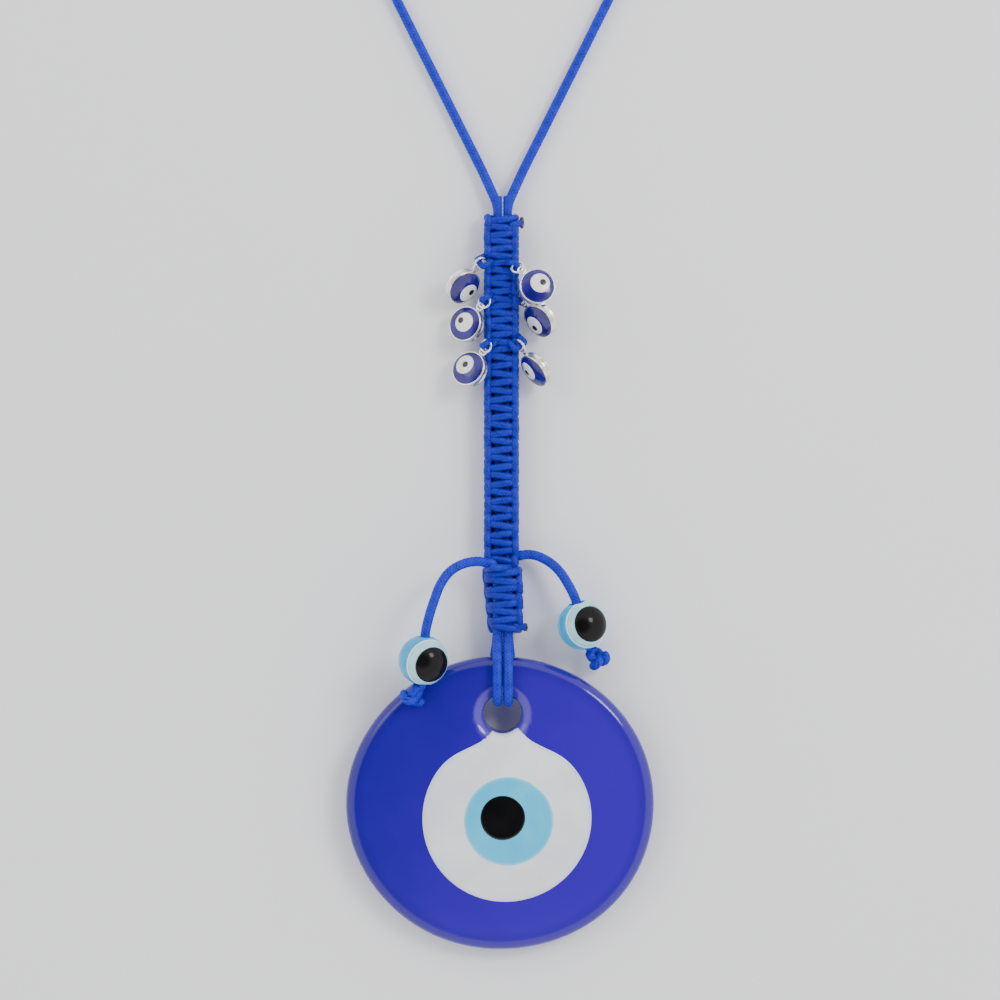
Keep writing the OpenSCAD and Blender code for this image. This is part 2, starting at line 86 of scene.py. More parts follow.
# camera
view = {"distance": 900.0, "seen": 228.3, "x": -0.14, "y": 18.4}
cameraData = bpy.data.cameras.new("camera")
cameraData.sensor_width = 36
cameraData.lens = 36 * view["distance"] / view["seen"]
cameraData.clip_start = 0.01
camera = bpy.data.objects.new("camera", cameraData)
camera.location = (view["x"] * mm, view["y"] * mm, view["distance"] * mm)
scene.collection.objects.link(camera)
scene.camera = camera
print("camera ready")


# shader nodes
class Wire:
    # one socket of a material's tree; sums written with it add their own nodes
    def __init__(self, shader, socket):
        self.shader, self.socket = shader, socket

    def math(self, operation, *values, clamp=False):
        return self.shader.node("ShaderNodeMath", {"operation": operation, "use_clamp": clamp},
                                dict(enumerate(values)))

    def __add__(self, other):
        return self.math("ADD", self, other)

    def __radd__(self, other):
        return self.math("ADD", other, self)

    def __sub__(self, other):
        return self.math("SUBTRACT", self, other)

    def __rsub__(self, other):
        return self.math("SUBTRACT", other, self)

    def __mul__(self, other):
        return self.math("MULTIPLY", self, other)

    def __rmul__(self, other):
        return self.math("MULTIPLY", other, self)

    def between(self, low, high):  # 0 below low, 1 above high, smooth in between
        return self.shader.node("ShaderNodeMapRange", {"interpolation_type": "SMOOTHSTEP"},
                                {"Value": self, "From Min": low, "From Max": high})


class Shader:
    def __init__(self, name):
        self.material = bpy.data.materials.new(name)
        self.material.use_nodes = True
        self.tree = self.material.node_tree
        self.body = self.tree.nodes["Principled BSDF"]

    def node(self, kind, settings=None, sockets=None, output=0):
        made = self.tree.nodes.new(kind)
        for key, value in (settings or {}).items():
            if key == "stops":
                self.setStops(made, value)
            else:
                setattr(made, key, value)
        for key, value in (sockets or {}).items():
            self.join(value, made.inputs[key])
        return Wire(self, made.outputs[output])

    def setStops(self, ramp, stops):
        elements = ramp.color_ramp.elements
        while len(elements) < len(stops):
            elements.new(0.5)
        for element, (place, colour) in zip(elements, stops):
            element.position = place
            element.color = (*colour, 1)

    def join(self, value, socket):
        if isinstance(value, Wire):
            self.tree.links.new(value.socket, socket)
        elif isinstance(value, (tuple, list)) and len(value) == 3 and socket.type == "RGBA":
            socket.default_value = (*value, 1)
        else:
            socket.default_value = value

    def blend(self, share, low, high, kind="MIX"):  # colour low where share is 0, high where it is 1
        made = self.tree.nodes.new("ShaderNodeMix")
        made.data_type = "RGBA"
        made.blend_type = kind
        for value, socket in ((share, made.inputs[0]), (low, made.inputs[6]), (high, made.inputs[7])):
            self.join(value, socket)
        return Wire(self, made.outputs[2])

    def place(self):
        return self.node("ShaderNodeTexCoord", output=3)

    def noise(self, scale, detail=3.0, rough=0.55, where=None):
        return self.node("ShaderNodeTexNoise", {"noise_dimensions": "3D"},
                         {"Vector": where or self.place(), "Scale": scale, "Detail": detail,
                          "Roughness": rough})

    def stored(self, name, output=2):
        return self.node("ShaderNodeAttribute", {"attribute_name": name}, output=output)

    def bump(self, height, strength, distance):
        return self.node("ShaderNodeBump", None,
                         {"Height": height, "Strength": strength, "Distance": distance})

    def finish(self, **sockets):
        for key, value in sockets.items():
            self.join(value, self.body.inputs[key.replace("_", " ")])
        return self.material


# materials
# cord colours: the yarn's own blue, a painted shade for the braid's grooves and a painted highlight for the
# strands' backs
cordLook = {"groove": (0.0002, 0.0008, 0.040), "yarn": (0.0035, 0.012, 0.40), "shine": (0.035, 0.085, 0.80)}


def cordMaterial(name, tint=1.0):
    s = Shader(name)
    relief = s.stored("relief")
    fibre = s.noise(5200, 2.0, 0.6)
    patch = s.noise(380, 2.0)
    height = relief * 0.85 + fibre * 0.3
    yarn = s.blend(patch.between(0.3, 0.75), [c * 0.85 * tint for c in cordLook["yarn"]],
                   [min(c * 1.12 * tint, 1) for c in cordLook["yarn"]])
    # painted shade: the colour darkens where the relief is low, in the braid's grooves
    base = s.blend(height.between(0.2, 0.78), cordLook["groove"], yarn)
    # painted highlight: the strands' backs are lightened towards the shine colour
    base = s.blend(height.between(0.84, 1.08) * 0.55, base, cordLook["shine"])
    rough = 0.42 + fibre * 0.25 - relief * 0.08
    return s.finish(Base_Color=base, Roughness=rough, Normal=s.bump(fibre, 0.4, 0.00006),
                    Sheen_Weight=0.05, Sheen_Roughness=0.4, Sheen_Tint=(0.25, 0.45, 1.0),
                    Specular_IOR_Level=0.25)


def glassMaterial():
    s = Shader("cobaltGlass")
    where = s.place()
    side = s.node("ShaderNodeSeparateXYZ", None, {"Vector": where}, output=0)
    height = s.node("ShaderNodeSeparateXYZ", None, {"Vector": where}, output=1)
    cloud = s.noise(55, 3.0, 0.5)
    streak = s.noise(160, 4.0, 0.6)
    seed = s.node("ShaderNodeTexVoronoi", {"feature": "F1"},
                  {"Vector": where, "Scale": 420.0, "Randomness": 1.0})
    # painted light: the disc is darker at its top left and lighter towards its lower right, as the light
    # falls on it; the cloud noise adds uneven tone
    light = (side * 11.0 - height * 5.5 - 0.10 + cloud * 0.55).between(-0.2, 0.75)
    base = s.blend(light, (0.014, 0.0008, 0.26), (0.040, 0.0035, 0.40))
    base = s.blend(s.stored("rim").between(0.86, 1.0) * 0.5, base, (0.006, 0.0008, 0.17))
    # painted light: round the hole the bevel and wall are lightened towards violet, for light coming through
    # the thin glass there
    base = s.blend(s.stored("bevel").between(0.0, 0.9) * 0.6, base, (0.10, 0.06, 0.50))
    base = s.blend((1.0 - seed.between(0.03, 0.10)) * 0.10, base, (0.08, 0.09, 0.6))
    bump = s.bump(cloud * 0.7 + streak * 0.12, 0.25, 0.0007)
    return s.finish(Base_Color=base, Roughness=0.06 + streak * 0.07, Normal=bump, Coat_Weight=0.2,
                    Coat_Roughness=0.04, Specular_IOR_Level=0.36)


def pooledGlass(name, low, high, grain=90, rough=0.09, edge=None):
    s = Shader(name)
    cloud = s.noise(grain, 3.0, 0.5)
    pit = s.noise(900, 2.0, 0.5)
    base = s.blend(cloud.between(0.3, 0.72), low, high)
    if edge:
        base = s.blend(s.stored("rim").between(edge[0], 1.0) * edge[2], base, edge[1])
    base = s.blend(pit.between(0.66, 0.74) * 0.10, base, [c * 0.5 for c in low])
    return s.finish(Base_Color=base, Roughness=rough + pit * 0.06,
                    Normal=s.bump(cloud + pit * 0.08, 0.16, 0.0006), Coat_Weight=0.3,
                    Coat_Roughness=0.05, Specular_IOR_Level=0.4)


def enamelMaterial(name, low, high, rough=0.12):
    s = Shader(name)
    cloud = s.noise(520, 2.0, 0.5)
    speck = s.noise(5200, 2.0, 0.5)
    base = s.blend(cloud.between(0.35, 0.7), low, high)
    base = s.blend(speck.between(0.70, 0.8) * 0.2, base, [min(1, c * 1.8 + 0.02) for c in high])
    return s.finish(Base_Color=base, Roughness=rough + speck * 0.06,
                    Normal=s.bump(cloud, 0.12, 0.00025), Coat_Weight=0.3, Coat_Roughness=0.06,
                    Specular_IOR_Level=0.45)


def silverMaterial():
    s = Shader("silverMetal")
    cloud = s.noise(430, 2.0, 0.5)
    scratch = s.noise(4200, 4.0, 0.7)
    base = s.blend(cloud.between(0.40, 0.68), (0.90, 0.90, 0.88), (0.62, 0.60, 0.44))
    base = s.blend(scratch.between(0.62, 0.8) * 0.35, base, (0.34, 0.33, 0.28))
    return s.finish(Base_Color=base, Metallic=0.93, Roughness=0.16 + scratch * 0.16,
                    Normal=s.bump(scratch + cloud * 0.8, 0.22, 0.00008))


def resinMaterial(name, low, high, rough=0.1, clear=0.0, gloss=0.4):
    s = Shader(name)
    cloud = s.noise(260, 2.0, 0.5)
    scuff = s.noise(3400, 3.0, 0.6)
    base = s.blend(cloud.between(0.3, 0.7), low, high)
    base = s.blend(scuff.between(0.68, 0.8) * 0.25, base, [min(1, c * 1.25 + 0.04) for c in high])
    return s.finish(Base_Color=base, Roughness=rough + scuff * 0.08,
                    Normal=s.bump(scuff * 0.3 + cloud, 0.08, 0.0002), Subsurface_Weight=clear,
                    Subsurface_Scale=0.0015, Subsurface_Radius=(1.0, 1.0, 1.0), Coat_Weight=gloss * 0.3,
                    Coat_Roughness=0.05, Specular_IOR_Level=gloss)


def scorchedMaterial():
    s = Shader("meltedCord")
    lump = s.noise(1500, 3.0, 0.6)
    fine = s.noise(6000, 3.0, 0.6)
    base = s.blend(lump.between(0.35, 0.65), (0.022, 0.014, 0.018), (0.13, 0.085, 0.10))
    base = s.blend(fine.between(0.6, 0.75) * 0.4, base, (0.03, 0.05, 0.30))
    return s.finish(Base_Color=base, Roughness=0.5 + fine * 0.3,
                    Normal=s.bump(lump + fine * 0.4, 0.5, 0.00012))


looks = {
    "braided_cord": cordMaterial("braidedCord", 1.25),
    "knotting_cord": cordMaterial("knottingCord", 1.0),
    "melted_cord": scorchedMaterial(),
    "cobalt_glass": glassMaterial(),
    "white_glass": pooledGlass("whiteGlass", (0.74, 0.77, 0.83), (0.90, 0.92, 0.95), 70, 0.1,
                               (0.93, (0.50, 0.56, 0.74), 0.5)),
    "light_blue_glass": pooledGlass("lightBlueGlass", (0.05, 0.52, 0.84), (0.09, 0.60, 0.88), 120, 0.09,
                                    (0.90, (0.34, 0.76, 0.92), 0.7)),
    "black_glass": pooledGlass("blackGlass", (0.0012, 0.0012, 0.0016), (0.004, 0.004, 0.005), 120, 0.07,
                               (0.93, (0.01, 0.03, 0.04), 0.6)),
    "silver_metal": silverMaterial(),
    "navy_enamel": enamelMaterial("navyEnamel", (0.009, 0.003, 0.13), (0.020, 0.008, 0.22)),
    "white_enamel": enamelMaterial("whiteEnamel", (0.80, 0.80, 0.80), (0.90, 0.90, 0.89), 0.18),
    "black_enamel": enamelMaterial("blackEnamel", (0.004, 0.004, 0.004), (0.016, 0.015, 0.012), 0.16),
    "turquoise_resin": resinMaterial("turquoiseResin", (0.0, 0.30, 0.62), (0.004, 0.42, 0.76), 0.1, 0.15),
    "white_resin": resinMaterial("whiteResin", (0.82, 0.86, 0.88), (0.94, 0.95, 0.95), 0.12, 0.1),
    "aqua_resin": resinMaterial("aquaResin", (0.30, 0.64, 0.72), (0.46, 0.76, 0.82), 0.08, 0.3),
    "black_resin": resinMaterial("blackResin", (0.004, 0.0035, 0.0035), (0.007, 0.006, 0.006), 0.12,
                                 gloss=0.14),
}
print("materials ready")


# meshes
def makePiece(name, points, faces, slotName, body, replaces=(), stored=None, smooth=True):
    mesh = bpy.data.meshes.new(name)
    corners = [tuple(int(i) for i in f) for f in faces]
    mesh.from_pydata([tuple(p) for p in np.asarray(points) * mm], [], corners)
    mesh.polygons.foreach_set("use_smooth", [smooth] * len(mesh.polygons))
    for key, values in (stored or {}).items():
        layer = mesh.attributes.new(key, "FLOAT", "POINT")
        layer.data.foreach_set("value", np.asarray(values, np.float32))
    mesh.materials.append(looks[slotName])
    mesh.update()
    piece = bpy.data.objects.new(name, mesh)
    scene.collection.objects.link(piece)
    if body:
        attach(piece, body)
    if replaces:
        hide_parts(*replaces)
    return piece


def gridFaces(rows, columns, first=0, closeRows=False):
    # quads between neighbouring rings of points; every ring is closed
    faces = []
    for i in range(rows if closeRows else rows - 1):
        for k in range(columns):
            a = first + i * columns + k
            b = first + i * columns + (k + 1) % columns
            c = first + (i + 1) % rows * columns + (k + 1) % columns
            d = first + (i + 1) % rows * columns + k
            faces.append((a, b, c, d))
    return faces


def smoothRoute(points, step, closed=False):
    # Catmull-Rom curve through the points, cut to even steps
    points = np.asarray(points, float)
    if closed:
        ends = np.vstack([points[-1:], points, points[:2]])
    else:
        ends = np.vstack([2 * points[:1] - points[1:2], points, 2 * points[-1:] - points[-2:-1]])
    share = np.linspace(0, 1, 12, endpoint=False)[:, None]
    rows = []
    for a, b, c, d in zip(ends, ends[1:], ends[2:], ends[3:]):
        rows.append(0.5 * (2 * b + (c - a) * share + (2 * a - 5 * b + 4 * c - d) * share ** 2
                           + (3 * b - a - 3 * c + d) * share ** 3))
    dense = np.vstack(rows + [ends[-2:-1]])
    gone = np.concatenate([[0], np.cumsum(np.linalg.norm(np.diff(dense, axis=0), axis=1))])
    count = max(3, int(round(gone[-1] / step)) + 1)
    even = np.linspace(0, gone[-1], count)
    return np.stack([np.interp(even, gone, dense[:, k]) for k in range(3)], axis=1), even


def ringFrames(route):
    ways = np.gradient(route, axis=0)
    ways /= np.linalg.norm(ways, axis=1)[:, None]
    side = np.cross(ways[0], (0, 0, 1.0))
    if np.linalg.norm(side) < 0.2:
        side = np.cross(ways[0], (0, 1.0, 0))
    sides = []
    for way in ways:  # each ring keeps the last one's turn
        side = unit(side - way * side.dot(way))
        sides.append(side)
    sides = np.array(sides)
    return ways, sides, np.cross(ways, sides)


def plaitRelief(turn, along, plaits, pitch):
    # height of a round braid of two sets of strands, 0 in a groove to 1 on a strand's back
    a = plaits * turn + along / pitch
    b = plaits * turn - along / pitch
    i, j = np.floor(a), np.floor(b)
    fa, fb = a - i - 0.5, b - j - 0.5
    over = (i + j) % 2 == 0
    across = np.where(over, fa, fb)
    length = np.where(over, fb, fa)
    return np.sqrt(np.clip(1 - (2 * across) ** 2, 0, 1)) * (1 - 0.9 * (2 * length) ** 4 * 0.5)


def cordTube(name, points, radius, slotName, body, replaces=(), sides=24, step=0.2, plaits=6,
             pitch=0.87, depth=0.15, widths=None, shape=None, closed=False):
    # a braided cord along a route, with the plaits raised on its surface and both ends rounded
    route, along = smoothRoute(points, step, closed)
    ways, across, up = ringFrames(route)
    turn = np.arange(sides) / sides
    relief = plaitRelief(turn[None, :], along[:, None], plaits, pitch)
    width = np.ones(len(route)) if widths is None else widths(along / along[-1])
    fromEnd = np.minimum(along, along[-1] - along)
    cap = np.sqrt(np.clip(1 - (1 - np.clip(fromEnd / radius, 0, 1)) ** 2, 0.02, 1))
    reach = (radius - depth + depth * relief) * (width * cap)[:, None]
    angle = 2 * math.pi * turn
    points3 = (route[:, None, :] + reach[..., None] * (np.cos(angle)[None, :, None] * across[:, None, :]
                                                       + np.sin(angle)[None, :, None] * up[:, None, :]))
    flat = points3.reshape(-1, 3)
    if shape is not None:
        flat = shape(flat)
    count = len(route)
    faces = gridFaces(count, sides)
    whole = np.vstack([flat, route[:1] - ways[:1] * 0.02, route[-1:] + ways[-1:] * 0.02])
    faces += [(k, count * sides, (k + 1) % sides) for k in range(sides)]
    last = (count - 1) * sides
    faces += [(last + (k + 1) % sides, count * sides + 1, last + k) for k in range(sides)]
    relief = np.concatenate([relief.reshape(-1), [0.5, 0.5]])
    piece = makePiece(name, whole, [f[::-1] for f in faces], slotName, body, replaces, {"relief": relief})
    return piece, route


def lathe(profile, count=96):
    # points and faces of a closed profile turned about Z: the profile runs once round, in (r, z)
    rows = []
    for r, z in profile:
        angle = 2 * math.pi * np.arange(count) / count
        rows.append(np.stack([r * np.cos(angle), r * np.sin(angle), np.full(count, z)], axis=1))
    return np.vstack(rows), gridFaces(len(profile), count, 0, True)


def dome(profile, count=72):
    # a solid whose profile starts and ends on the Z axis
    rows, faces = [], []
    angle = 2 * math.pi * np.arange(count) / count
    for r, z in profile[1:-1]:
        rows.append(np.stack([r * np.cos(angle), r * np.sin(angle), np.full(count, z)], axis=1))
    points = np.vstack(rows + [[[0, 0, profile[0][1]], [0, 0, profile[-1][1]]]])
    inner = len(profile) - 2
    faces = gridFaces(inner, count)
    top, bottom = inner * count, inner * count + 1
    faces += [(k, top, (k + 1) % count) for k in range(count)]
    last = (inner - 1) * count
    faces += [(last + (k + 1) % count, bottom, last + k) for k in range(count)]
    return points, faces


def outward(points, faces):
    # turn every face round when the solid's volume comes out negative
    p = np.asarray(points)
    volume = 0.0
    for f in faces:
        for k in range(1, len(f) - 1):
            volume += np.dot(p[f[0]], np.cross(p[f[k]], p[f[k + 1]]))
    return faces if volume > 0 else [tuple(reversed(f)) for f in faces]


# free cords: each route repeats the model's own points
mainCord = {"radius": 1.125, "plaits": 6, "pitch": 0.87}
loopCord = {"length": 0.2334, "points": [
    (-0.7, 84, 2.6), (-0.95, 86, 2.5), (-2, 88.5, 2.2), (-4.5, 94, 1.6), (-9.5, 104, 1.2),
    (-15, 115, 1.2), (-20.5, 126, 1.2), (-25.5, 136.5, 1.2), (-28.5, 146, 1.2), (-29, 154, 1.2),
    (-27, 162.5, 1.2), (-22, 171, 1.2), (-15.5, 177, 1.2), (-7.5, 180.5, 1.2), (0.45, 181.5, 1.2),
    (8.4, 180.5, 1.2), (16.4, 177, 1.2), (22.9, 171, 1.2), (27.9, 162.5, 1.2), (29.9, 154, 1.2),
    (29.4, 146, 1.2), (26.4, 136.5, 1.2), (21.4, 126, 1.2), (15.9, 115, 1.2), (10.4, 104, 1.2),
    (5.4, 94, 1.6), (2.9, 88.5, 2.2), (1.85, 86, 2.5), (1.6, 84, 2.6)]}
beadPlace = {
    "left": {"at": (-17.4, -17.7, 12), "way": (-0.4, -5.5, -0.2), "eye": (0.48, -0.22, 0.85)},
    "right": {"at": (18.6, -10, 5.75), "way": (1.3, -4.8, -0.65), "eye": (0.44, 0.1, 0.89)}}
tailCord = {
    "left": {"length": 0.0428, "end": (-18.3, -23.6, 11.5), "knot": (-19.1, -25, 10.9), "points": [
        (-1.1, 3.4, 6.6), (-1.6, 3.8, 6.6), (-3.4, 4.2, 6.7), (-5.6, 4.5, 7), (-8.6, 3.9, 7.7),
        (-11.6, 2.1, 8.8), (-13.7, -0.9, 10), (-15, -4.3, 11), (-16, -7.4, 11.7),
        (-16.7, -10.2, 12.1)]},
    "right": {"length": 0.0303, "end": (20.3, -15.6, 4.8), "knot": (21.6, -16.9, 4.1), "points": [
        (4.5, 5.8, 2.65), (6.5, 6, 2.9), (8.8, 5.5, 3.5), (11.5, 4, 4.5), (13.7, 1.8, 5.5),
        (15.4, -0.9, 6.2), (16.6, -3.2, 6.5)]}}


def mainTube(name, points, slotName, body, replaces=(), **more):
    return cordTube(name, points, mainCord["radius"], slotName, body, replaces,
                    plaits=mainCord["plaits"], pitch=mainCord["pitch"], **more)


hangingLoop, loopRoute = mainTube("hangingLoop", loopCord["points"], "braided_cord", "loop",
                                  ["hanging_loop"])
print("hanging loop length", round(float(np.linalg.norm(np.diff(loopRoute, axis=0), axis=1).sum()), 2))

tailPieces = {}
for side in ("left", "right"):
    spec, bead = tailCord[side], beadPlace[side]
    at, way = np.array(bead["at"], float), np.array(bead["way"], float)
    points = spec["points"] + [at - way, at, at + way, spec["end"]]
    piece, route = mainTube("tailCord" + side.capitalize(), points, "braided_cord", "tail_" + side,
                            ["tail_cord_" + side])
    tailPieces[side] = (piece, route)
    print("tail", side, "length", round(float(np.linalg.norm(np.diff(route, axis=0), axis=1).sum()), 2))


# beads
beadShape = {"radius": 5.65, "bore": 1.45, "white": 1.95, "aqua": 2.3, "pupil": 3.9}


def ballProfile(low, high, radius, soft=0.07, count=20):
    # outline of the part of a ball between two heights on its axis, its edges slightly softened
    a0 = math.acos(max(-1, min(1, low / radius)))
    a1 = math.acos(max(-1, min(1, high / radius)))
    outline = []
    if low > -radius:
        edge = radius * math.sin(a0)
        outline += [(0, low), (edge - 2 * soft, low), (edge - soft * 0.4, low + soft * 0.3)]
    else:
        outline += [(0, -radius)]
    start = a0 if low > -radius else math.pi
    stop = a1 if high < radius else 0
    for k in range(1, count):
        a = start + (stop - start) * k / count
        outline.append((radius * math.sin(a), radius * math.cos(a)))
    if high < radius:
        edge = radius * math.sin(a1)
        outline += [(edge - soft * 0.4, high - soft * 0.3), (edge - 2 * soft, high), (0, high)]
    else:
        outline += [(0, radius)]
    return outline


def basisFor(normal, near=(0, 1, 0)):
    n = unit(normal)
    v = np.array(near, float)
    v = unit(v - n * v.dot(n))
    return np.stack([v, np.cross(n, v), n], axis=1)


def cutBy(piece, cutterPoints, cutterFaces):
    # cut a hole with a second solid, and keep only the cut mesh
    mesh = bpy.data.meshes.new("cutter")
    mesh.from_pydata([tuple(p) for p in np.asarray(cutterPoints) * mm], [], cutterFaces)
    cutter = bpy.data.objects.new("cutter", mesh)
    scene.collection.objects.link(cutter)
    change = piece.modifiers.new("hole", "BOOLEAN")
    change.operation, change.solver, change.object = "DIFFERENCE", "EXACT", cutter
    whole = bpy.data.meshes.new_from_object(piece.evaluated_get(bpy.context.evaluated_depsgraph_get()))
    piece.modifiers.clear()
    piece.data = whole
    bpy.data.objects.remove(cutter)
    bpy.data.meshes.remove(mesh)


def boreCutter(at, way, radius, reach):
    # a round bore whose mouths flare a little
    profile = [(radius + 0.5, -reach), (radius + 0.5, -reach * 0.86), (radius, -reach * 0.8),
               (radius, reach * 0.8), (radius + 0.5, reach * 0.86), (radius + 0.5, reach)]
    points, faces = dome([(0, -reach)] + profile + [(0, reach)], 48)
    points = points @ basisFor(way, (0, 0, 1)).T + at
    return points, outward(points, faces)


def makeBead(side):
    spec = beadPlace[side]
    at, way, turn = np.array(spec["at"], float), unit(spec["way"]), basisFor(spec["eye"])
    r = beadShape["radius"]
    layers = {"Body": (-r, beadShape["white"], "turquoise_resin", 26),
              "White": (beadShape["white"], beadShape["aqua"], "white_resin", 4),
              "Aqua": (beadShape["aqua"], beadShape["pupil"], "aqua_resin", 10),
              "Pupil": (beadShape["pupil"], r, "black_resin", 14)}
    made = []
    for layer, (low, high, slotName, count) in layers.items():
        size = r + (0.03 if layer == "White" else 0.0)
        points, faces = dome(ballProfile(low, min(high, r), size if high < r else r, 0.05, count), 96)
        points = points @ turn.T + at
        piece = makePiece("bead" + side.capitalize() + layer, points, outward(points, faces), slotName,
                          "bead_" + side, ["bead_" + side + "_" + layer.lower()])
        if layer in ("Body", "White", "Aqua"):
            cutBy(piece, *boreCutter(at, way, beadShape["bore"], 5.9))
        made.append(piece)
    return made


# overhand knots on the tails
knotShape = {"size": {"left": 0.74, "right": 0.66}, "radius": 1.08, "gap": 0.62}


def overhandRoute(centre, comeFrom, tilt, size, gap):
    # an open trefoil: one outer lobe is left out, and the two strands there run on outwards
    t = np.linspace(gap, 2 * math.pi - gap, 64)
    curve = np.stack([np.sin(t) + 2 * np.sin(2 * t), np.cos(t) - 2 * np.cos(2 * t),
                      -1.25 * np.sin(3 * t)], 1)
    frameOf = basisFor(tilt, comeFrom)
    turned = curve[:, [1, 0, 2]] * np.array([-1, 1, 1])
    return centre + (turned * size) @ frameOf.T


def makeKnot(side):
    spec = tailCord[side]
    centre = (np.array(spec["knot"], float) + middleOf("tail_knot_" + side)) / 2
    back = unit(np.array(spec["end"]) - centre)
    tilt = {"left": (0.25, -0.35, 0.9), "right": (-0.3, 0.25, 0.9)}[side]
    size = knotShape["size"][side]
    route = overhandRoute(centre - back * 0.6, back, tilt, size, knotShape["gap"])
    piece, _ = cordTube("tailKnot" + side.capitalize(), route[::3], knotShape["radius"], "braided_cord",
                        "tail_" + side, ["tail_knot_" + side], plaits=6, pitch=0.87, step=0.2)
    return piece


for side in ("left", "right"):
    beads = makeBead(side)
    knot = makeKnot(side)
    piece, route = tailPieces[side]
print("cords, beads and knots ready")


# jump rings, which dent the cord they hang on
charmNames = ["upper_left", "upper_right", "middle_left", "middle_right", "lower_left", "lower_right"]
ringShape = {"radius": 1.4, "wire": 0.28, "split": 0.10}
rings = {name: (jointAt("ring_swing_" + name), jointWay("ring_swing_" + name)) for name in charmNames}


def dentedByRings(points):
    # push cord that would lie in a ring's wire out to the wire's surface
    points = np.array(points)
    clear = ringShape["wire"] + 0.05
    for at, axis in rings.values():
        away = points - at
        rise = away @ axis
        flat = away - rise[:, None] * axis
        wide = np.linalg.norm(flat, axis=1)[:, None]
        core = at + flat / np.maximum(wide, 1e-6) * ringShape["radius"]
        gap = points - core
        far = np.linalg.norm(gap, axis=1)
        near = far < clear
        points[near] = core[near] + gap[near] / np.maximum(far[near], 1e-6)[:, None] * clear
    return points


# the square knots of the braid, and the tighter ones below
knotCord = {"radius": 0.86, "plaits": 5, "pitch": 0.66, "depth": 0.11}
braidKnots = {"tightPitch": 1.63, "pitch": 1.915, "tightCount": 18, "first": 82.1, "last": 2.9,
              "left": -2.98, "right": 3.36, "front": 4.42, "under": 3.95, "column": 4.28, "middle": 2.6,
              "thick": 5.2}


def knotRows(spec):
    rows, y, k = [], spec["first"], 0
    while y > spec["last"]:
        gap = spec["tightPitch"] if k < spec["tightCount"] else spec["pitch"]
        rows.append((y, gap))
        y -= gap
        k += 1
    return rows


def knottingRoute(rows, spec, across):
    # one of the two cords: over the strands, down one side, and back over them in the next knot
    points = []
    for k, (y, p) in enumerate(rows):
        way = across if k % 2 == 0 else -across
        left, right = spec["leftAt"](y), spec["rightAt"](y)
        start, stop = (left, right) if way > 0 else (right, left)
        jog, lift, out = rng.uniform(-0.11, 0.11), rng.uniform(-0.10, 0.08), rng.uniform(-0.14, 0.12)
        depth = spec["middle"]
        top, low = spec["front"] + lift, spec["under"] + lift
        points += [(start + way * 0.05, y - 0.27 * p, depth + 0.5),
                   (start + way * 0.8, y - 0.2 * p + jog, low),
                   (start + way * 2.1, y - 0.09 * p + jog, top),
                   (stop - way * 2.1, y + 0.09 * p + jog, top),
                   (stop - way * 0.8, y + 0.2 * p + jog, low),
                   (stop - way * 0.05, y + 0.27 * p, depth + 0.5)]
        if k < len(rows) - 1:
            sunk = spec.get("sunk") == ("right" if way > 0 else "left")
            turned = depth + 0.5 if sunk else spec["turned"]
            side = stop + way * (0.25 if sunk else out)
            points += [(stop, y + 0.36 * p, turned + 1.0), (side - way * 0.15, y + 0.14 * p, turned + 0.32),
                       (side, y - 0.5 * p, turned - 0.12), (side - way * 0.15, y - 1.14 * p, turned + 0.32),
                       (stop, y - 1.36 * p, turned + 1.0)]
    return points


def mirrored(points, middleX, thick):
    return [(2 * middleX - x, y, thick - z) for x, y, z in points]


def straight(value):
    return lambda y: value


braidRows = knotRows(braidKnots)
braidMiddle = (braidKnots["left"] + braidKnots["right"]) / 2
braidSpec = {**braidKnots, "leftAt": straight(braidKnots["left"]), "rightAt": straight(braidKnots["right"]),
             "turned": braidKnots["thick"] - braidKnots["column"]}
frontPoints = knottingRoute(braidRows, braidSpec, 1)
backPoints = mirrored(knottingRoute(braidRows, braidSpec, 1), braidMiddle, braidKnots["thick"])
knotTube = {"plaits": knotCord["plaits"], "pitch": knotCord["pitch"], "depth": knotCord["depth"],
            "sides": 16, "step": 0.2, "shape": dentedByRings}
cordTube("frontKnotCord", frontPoints, knotCord["radius"], "knotting_cord", "braid",
         ["front_knot_cord"], **knotTube)
cordTube("backKnotCord", backPoints, knotCord["radius"], "knotting_cord", "braid",
         ["back_knot_cord"], **knotTube)
print("braid ready:", len(braidRows), "knots")

lowerKnots = {"pitch": 1.74, "tightPitch": 1.74, "tightCount": 0, "first": 1.75, "last": -11.4,
              "front": 6.75, "under": 6.1, "middle": 3.8, "turned": 1.5, "right": 4.1, "thick": 7.6}
wrapEdge = {"top": 2.45, "length": 14.15, "left": -3.25, "taper": 1.45}
lowerRows = knotRows(lowerKnots)


def wrapLeft(y):
    # left edge of the wraps, which narrow downwards
    share = min(1, max(0, (wrapEdge["top"] - y) / wrapEdge["length"]))
    return wrapEdge["left"] + wrapEdge["taper"] * share


lowerSpec = {**lowerKnots, "leftAt": wrapLeft, "rightAt": straight(lowerKnots["right"])}
lowerFront = knottingRoute(lowerRows, lowerSpec, 1)
lowerBack = [(wrapLeft(y) + lowerKnots["right"] - x, y, lowerKnots["thick"] - z)
             for x, y, z in knottingRoute(lowerRows, {**lowerSpec, "sunk": "right"}, 1)]
lowerRadius = knotCord["radius"] + 0.04
undented = {**knotTube, "shape": None}
cordTube("lowerKnotCordFront", lowerFront, lowerRadius, "knotting_cord", "braid",
         ["lower_knot_cord"], **undented)
cordTube("lowerKnotCordBack", lowerBack, lowerRadius, "knotting_cord", "braid", **undented)


# the short loops of knotting cord that the jump rings hang on
stayShape = {"rise": 1.42, "reach": 2.6, "radius": 0.66}


